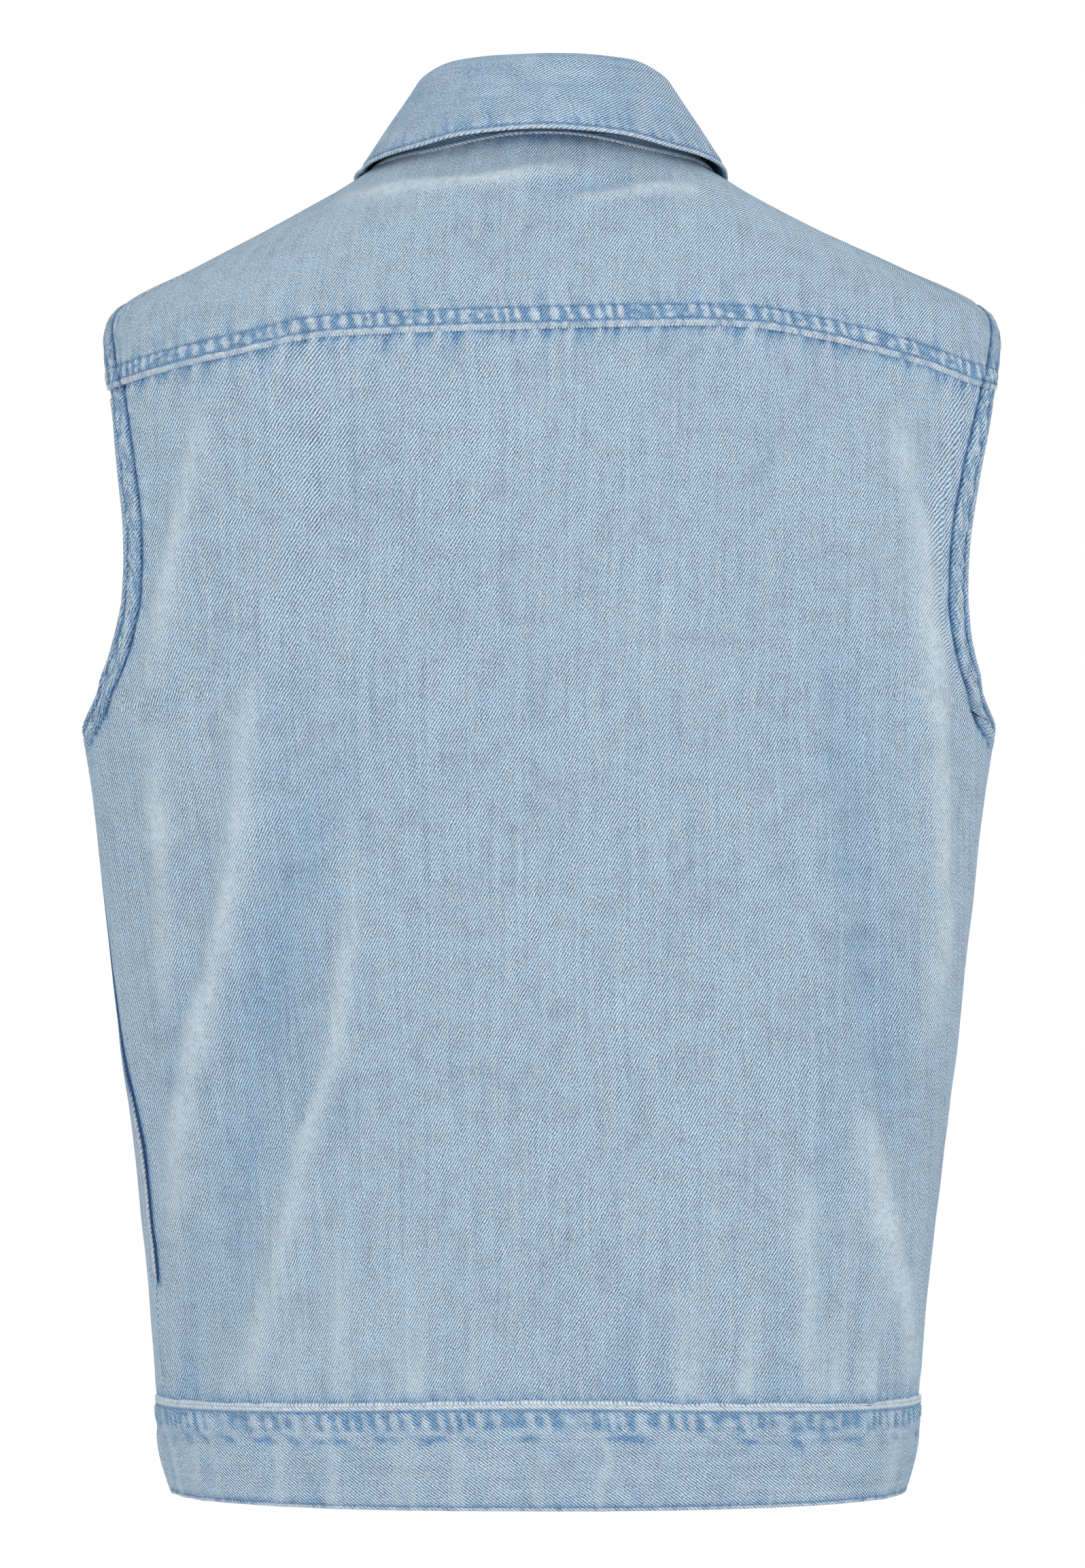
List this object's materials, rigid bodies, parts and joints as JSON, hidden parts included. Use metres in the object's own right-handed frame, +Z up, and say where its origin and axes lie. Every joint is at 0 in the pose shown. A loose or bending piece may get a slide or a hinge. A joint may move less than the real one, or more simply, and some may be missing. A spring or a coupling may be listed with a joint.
{
  "type": "denim vest",
  "caption": "Sleeveless denim vest, filled out as if worn, with a fold-over collar, a shaped back yoke, a buttoned front, side pockets and a waistband.",
  "frame": {"origin": "between the shoulders, level with the top of the shoulder line where it meets the neck, where the wearer holds the vest up", "axes": "+Z up along the body, +X to the wearer's left, -Y to the front"},
  "size_m": [0.4335, 0.2705, 0.6765],
  "materials": {
    "denim": "light-washed blue twill with tonal blue stitching, paler where edges and seams are worn",
    "button_metal": "plain shank buttons in dulled nickel"
  },
  "bodies": {
    "root": {"back_panel": "denim", "back_yoke": "denim", "front_left": "denim", "front_right": "denim", "placket_left": "denim", "placket_right": "denim", "waistband": "denim", "collar_stand": "denim", "collar_leaf": "denim", "pocket_mouth_left": "denim", "pocket_mouth_right": "denim", "button_1": "button_metal", "button_2": "button_metal", "button_3": "button_metal", "button_4": "button_metal", "button_5": "button_metal", "button_6": "button_metal"}
  },
  "joints": []
}
